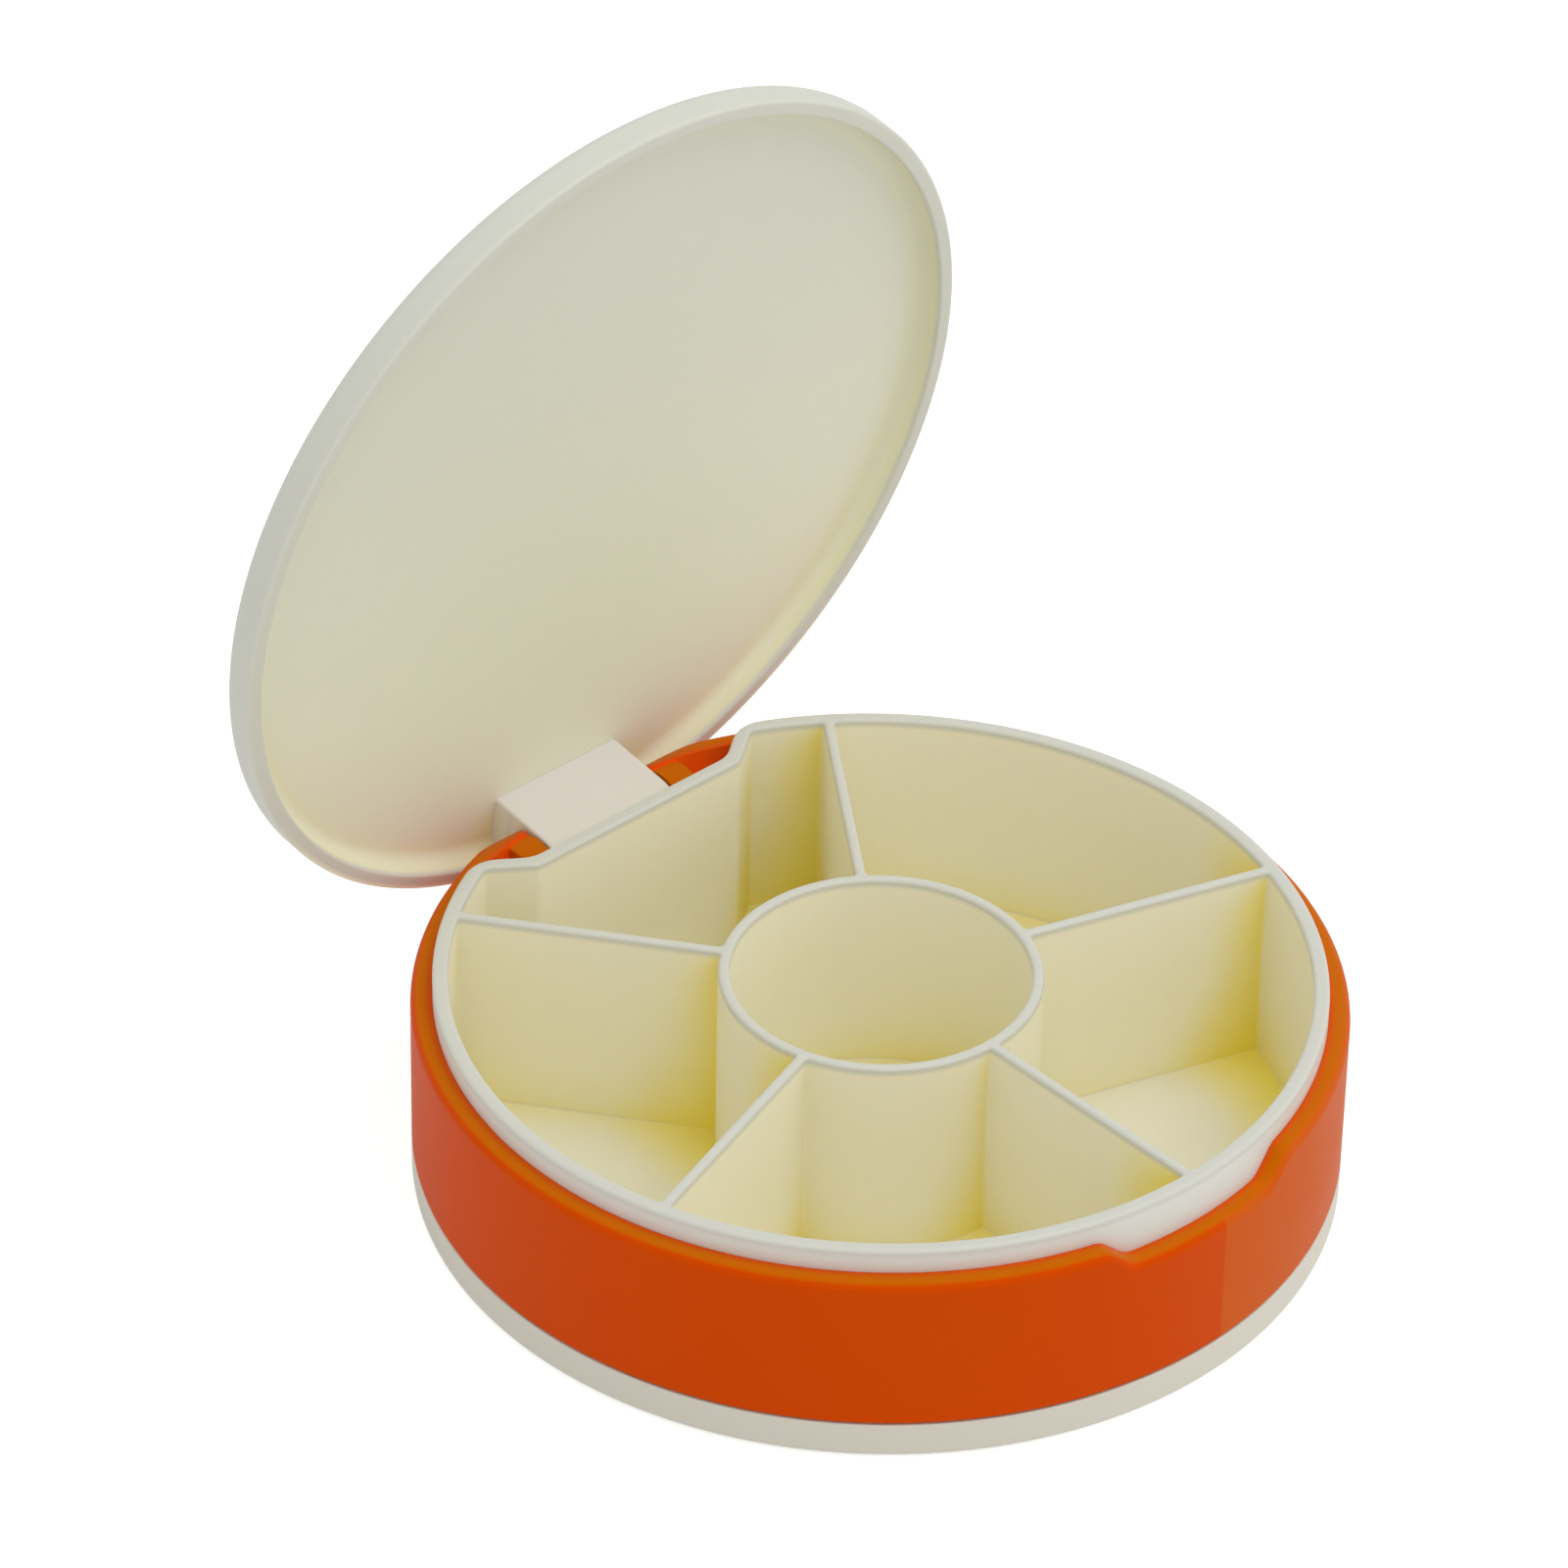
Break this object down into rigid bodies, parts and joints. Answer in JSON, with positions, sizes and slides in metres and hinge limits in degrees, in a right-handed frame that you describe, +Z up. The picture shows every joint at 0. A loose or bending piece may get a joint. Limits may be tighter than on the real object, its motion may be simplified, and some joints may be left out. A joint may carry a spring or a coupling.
{
  "type": "pill organizer",
  "caption": "Round pill organizer: a divided cream tray with a centre cup in an orange ring, and a cream lid hinged at the back, standing open.",
  "frame": {"origin": "centre of the flat underside of the round tray, where it stands on the table", "axes": "+Z up; +Y from the centre to the hinge at the back; -Y to the thumb notch at the front; +X along the hinge pin, to the right when seen from the front"},
  "size_m": [0.09, 0.0946, 0.1014],
  "materials": {
    "tray_cream": "satin moulded polypropylene, cream",
    "lid_cream": "satin moulded polypropylene, cream",
    "ring_orange": "satin moulded polypropylene, orange",
    "pin_steel": "plain drawn wire"
  },
  "bodies": {
    "base": {"tray": "tray_cream", "housing_ring": "ring_orange", "hinge_pin": "pin_steel"},
    "lid": {"lid": "lid_cream"}
  },
  "joints": [
    {"name": "lid_hinge", "type": "hinge", "parent": "base", "child": "lid", "pos_m": [0, 0.04054, 0.01597], "axis": [1, 0, 0], "range_deg": [-15, 81.4]}
  ]
}
